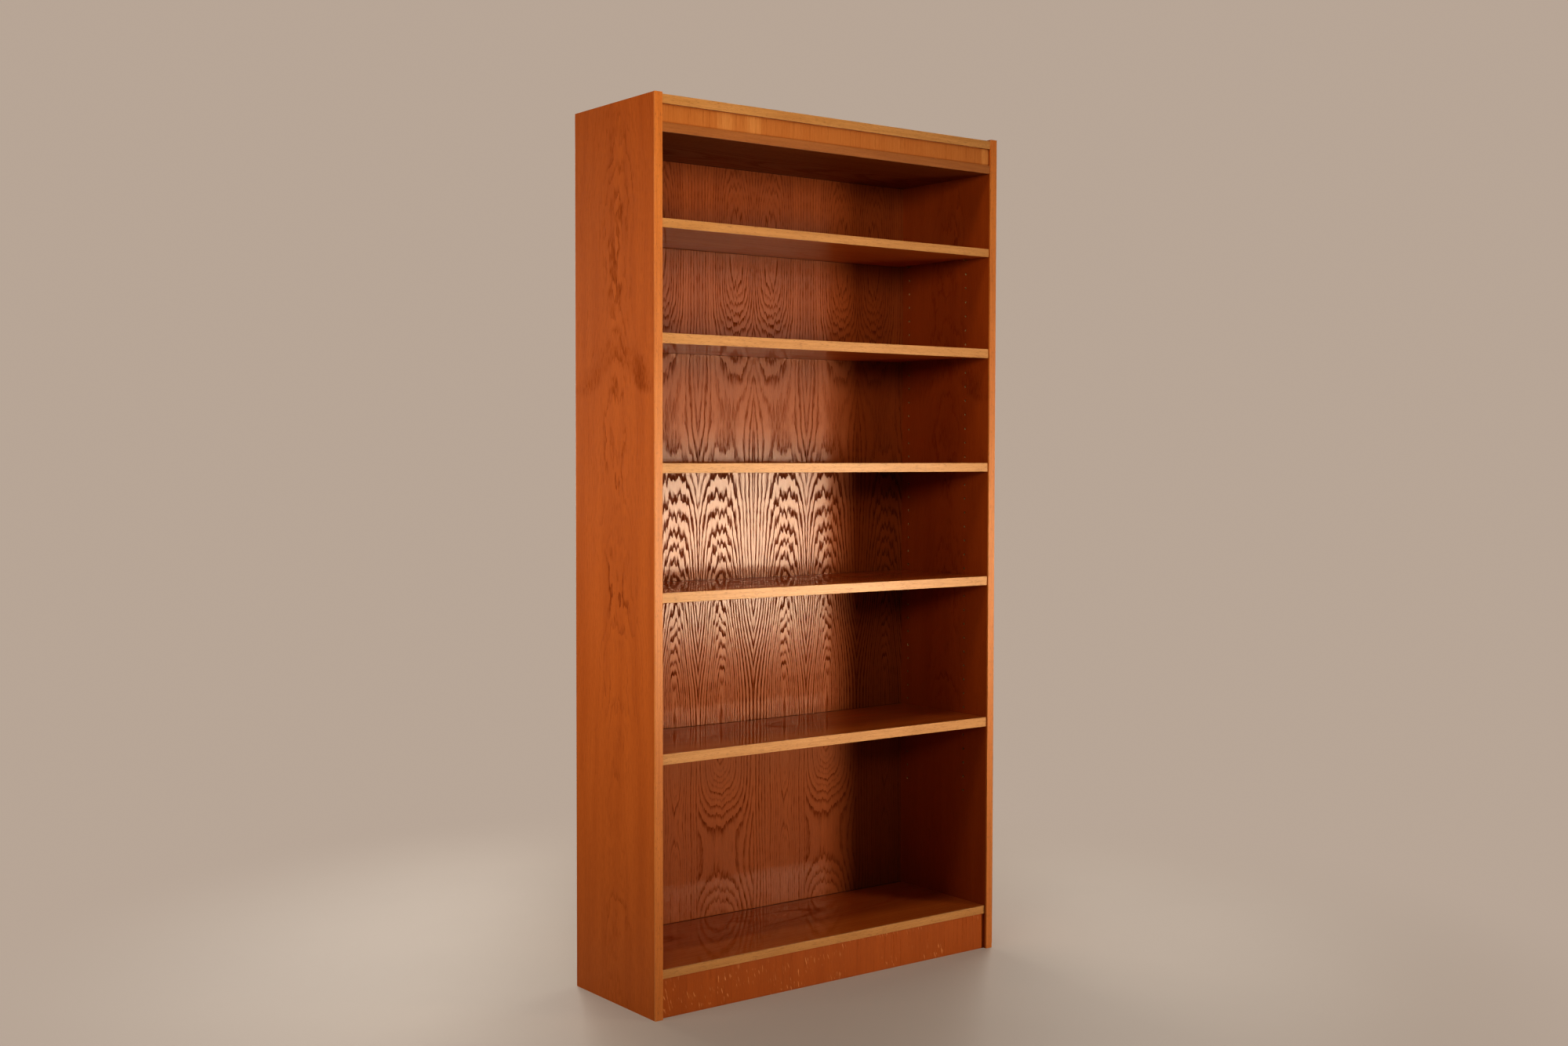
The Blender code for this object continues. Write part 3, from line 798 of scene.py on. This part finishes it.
def add_object(name, data):
    """A new object in the scene."""
    obj = bpy.data.objects.new(name, data)
    bpy.context.scene.collection.objects.link(obj)
    return obj


def add_piece(name, mesh, material):
    """A new object from a bmesh, in one material."""
    data = bpy.data.meshes.new(name)
    mesh.to_mesh(data)
    mesh.free()
    data.materials.append(material)
    return add_object(name, data)


def add_lipping(node, body, seed):
    """A lipping with softened, knocked front arrises, in place of the plain one of the frame."""
    low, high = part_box(node)
    axis = 2 if high[2] - low[2] > high[0] - low[0] else 0
    tones = LIPPING_TONES.get(node, PALE_TEAK)
    material = solid_teak(f"{node}_teak", seed, axis, low, high, tones)
    piece = add_piece(f"{node}_worn", worn_strip(low, high, axis, CHIPS.get(node, []), seed), material)
    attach(piece, body)
    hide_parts(node)


def add_lippings():
    """A worn lipping for each plain one: five on the case and one on each shelf."""
    for number, name in enumerate(["top_panel", "cornice_board", "bottom_panel", "left_side", "right_side"]):
        add_lipping(f"{name}_lipping", "case", 31.0 + number)
    for shelf in SHELVES:
        add_lipping(f"shelf_{shelf}_lipping", f"shelf_{shelf}_body", 20.0 + shelf)


# Nails --------------------------------------------------------------------------------------------

# The heads: their radius at the panel and at the top, how far they stand out of the panel and reach into
# it, how far apart they are and how far from its edges, and how far they stray.
NAIL_HEAD = 0.0014
NAIL_TOP = 0.7 * NAIL_HEAD
NAIL_PROUD = 0.0003
NAIL_SUNK = 0.0004
NAIL_PITCH = 0.115
NAIL_INSET = 0.007
NAIL_STRAY = 0.004
NAIL_MOST_SIDEWAYS = 0.002
NAIL_SEEDS = (3.3, 8.6)
NAIL_SEGMENTS = 20


def nail_spots(wide, tall):
    """Places of the nails along the four edges of the back: from its middle, and up from its lowest row."""
    across, upward = round(wide / NAIL_PITCH), round(tall / NAIL_PITCH)
    spots = [(side * wide / 2, tall * n / upward) for side in (-1, 1) for n in range(upward + 1)]
    return spots + [(wide * (n / across - 0.5), height) for height in (0.0, tall) for n in range(1, across)]


def nail_stray(number):
    """How far a nail is out of line, sideways and in height."""
    sideways, up = (NAIL_STRAY * noise.noise(Vector((number * 1.7, seed, 0.0))) for seed in NAIL_SEEDS)
    return max(-NAIL_MOST_SIDEWAYS, min(NAIL_MOST_SIDEWAYS, sideways)), up


def add_nails():
    """Small round heads of the nails that hold the back panel in its rebates, a little out of line."""
    mesh = bmesh.new()
    wide = BACK_HIGH[0] - BACK_LOW[0] - 2 * NAIL_INSET
    tall = BACK_HIGH[2] - BACK_LOW[2] - 2 * NAIL_INSET
    middle = (BACK_LOW[0] + BACK_HIGH[0]) / 2
    depth = BACK_HIGH[1] + (NAIL_PROUD - NAIL_SUNK) / 2
    turn = Matrix.Rotation(math.radians(-90.0), 4, "X")
    for number, (sideways, up) in enumerate(nail_spots(wide, tall)):
        stray_x, stray_z = nail_stray(number)
        x = middle + sideways + stray_x
        z = BACK_LOW[2] + NAIL_INSET + up + (stray_z if 0.0 < up < tall else 0.0)
        bmesh.ops.create_cone(mesh, cap_ends=True, segments=NAIL_SEGMENTS, radius1=NAIL_HEAD,
                              radius2=NAIL_TOP, depth=NAIL_PROUD + NAIL_SUNK,
                              matrix=Matrix.Translation((x, depth, z)) @ turn)
    piece = add_piece("back_panel_pins", mesh, bpy.data.materials["brass_pin"])
    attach(piece, "case")


# Studio -------------------------------------------------------------------------------------------

def add_camera():
    """The camera, turned by its yaw, then its pitch and then its roll."""
    yaw, pitch, roll = (math.radians(angle) for angle in (CAMERA_YAW, CAMERA_PITCH, CAMERA_ROLL))
    ahead = Vector((math.sin(yaw) * math.cos(pitch), math.cos(yaw) * math.cos(pitch), math.sin(pitch)))
    level = Vector((math.cos(yaw), -math.sin(yaw), 0.0))
    upright = level.cross(ahead)
    right = math.cos(roll) * level + math.sin(roll) * upright
    up = -math.sin(roll) * level + math.cos(roll) * upright
    data = bpy.data.cameras.new("camera")
    data.lens = CAMERA_LENS
    data.sensor_width = CAMERA_SENSOR
    camera = add_object("camera", data)
    camera.matrix_world = Matrix.Translation(CAMERA_PLACE) @ Matrix((right, up, -ahead)).transposed().to_4x4()
    bpy.context.scene.camera = camera


def add_light(name, place, target, width, height, spread, power, colour):
    """An area light that shines at the target and isn't seen by the camera itself."""
    data = bpy.data.lights.new(name, "AREA")
    data.shape = "RECTANGLE"
    data.size = width
    data.size_y = height
    data.spread = math.radians(spread)
    data.energy = power
    data.color = colour
    light = add_object(name, data)
    light.location = place
    light.rotation_euler = (Vector(target) - Vector(place)).to_track_quat("-Z", "Y").to_euler()
    light.visible_camera = False


def add_world():
    """A plain pale backdrop that gives off only a little of the light that it shows."""
    world = bpy.data.worlds.new("studio")
    world.use_nodes = True
    nodes, links = world.node_tree.nodes, world.node_tree.links
    background = nodes["Background"]
    background.inputs["Color"].default_value = (*BACKDROP_COLOUR, 1.0)
    seen = nodes.new("ShaderNodeLightPath").outputs["Is Camera Ray"]
    strength = nodes.new("ShaderNodeMapRange")
    strength.inputs["To Min"].default_value = AMBIENT_STRENGTH
    links.new(seen, strength.inputs["Value"])
    links.new(strength.outputs[0], background.inputs["Strength"])
    bpy.context.scene.world = world
    bpy.context.scene.view_settings.view_transform = "Standard"
    bpy.context.scene.view_settings.look = "Medium High Contrast"


def add_floor():
    """A plain matt floor, faintly clouded, that melts into the backdrop away from the case."""
    bpy.ops.mesh.primitive_plane_add(size=2 * FLOOR_HALF, location=(0.0, 0.0, 0.0))
    floor = bpy.context.object
    floor.name = "floor"
    g = Graph("floor")
    x, y, _ = g.place()
    cloud = g.noise(g.times(x, FLOOR_CLOUDS_PER_METRE), g.times(y, FLOOR_CLOUDS_PER_METRE), 0.0, 4.0)
    darker = tuple(FLOOR_CLOUD_SHADE * part for part in FLOOR_COLOUR)
    g.set(base_color=g.mix(g.ease(cloud, 0.3, 0.7), FLOOR_COLOUR, darker), roughness=0.55)
    distance = g.math("SQRT", g.plus(g.times(x, x), g.times(y, y)))
    glow = g.add("ShaderNodeEmission")
    g.feed(glow.inputs["Color"], BACKDROP_COLOUR)
    seen = g.add("ShaderNodeLightPath").outputs["Is Camera Ray"]
    g.feed(glow.inputs["Strength"], g.ease(seen, 0.0, 1.0, FLOOR_GLOW, 1.0))
    blend = g.add("ShaderNodeMixShader")
    g.feed(blend.inputs[0], g.ease(distance, MELT_START, MELT_END, MELT_AT_START, 1.0))
    g.tree.links.new(g.shader.outputs[0], blend.inputs[1])
    g.tree.links.new(glow.outputs[0], blend.inputs[2])
    g.tree.links.new(blend.outputs[0], g.tree.nodes["Material Output"].inputs["Surface"])
    floor.data.materials.append(g.material)


add_camera()
add_world()
add_floor()
for light_name, values in LIGHTS.items():
    add_light(light_name, *values)
dress_all()
add_lippings()
add_nails()
